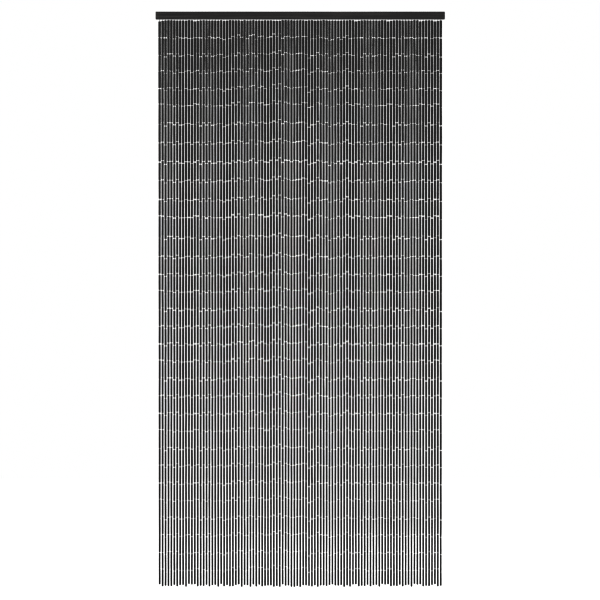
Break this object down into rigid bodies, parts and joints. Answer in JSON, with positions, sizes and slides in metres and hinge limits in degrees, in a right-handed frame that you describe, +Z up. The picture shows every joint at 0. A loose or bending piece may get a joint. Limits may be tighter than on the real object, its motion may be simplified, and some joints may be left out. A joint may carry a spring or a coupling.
{
  "type": "bamboo door curtain on a wooden headbar",
  "caption": "Door curtain of thin bamboo tubes, strung on wire into close hanging strands under one flat wooden headbar.",
  "frame": {"origin": "the middle of the headbar's flat back face, which lies against the wall or lintel above the door", "axes": "+Z up, +X to the right as seen from the front, +Y towards the wall behind the curtain"},
  "size_m": [1, 0.018, 1.989],
  "materials": {
    "rail_wood": "planed lath, stained near black, satin",
    "bamboo": "thin bamboo canes, stained near black, satin sheen",
    "wire": "thin iron wire, darkened, dull"
  },
  "bodies": {
    "root": {"rail": "rail_wood", "comb": "bamboo"}
  },
  "joints": []
}
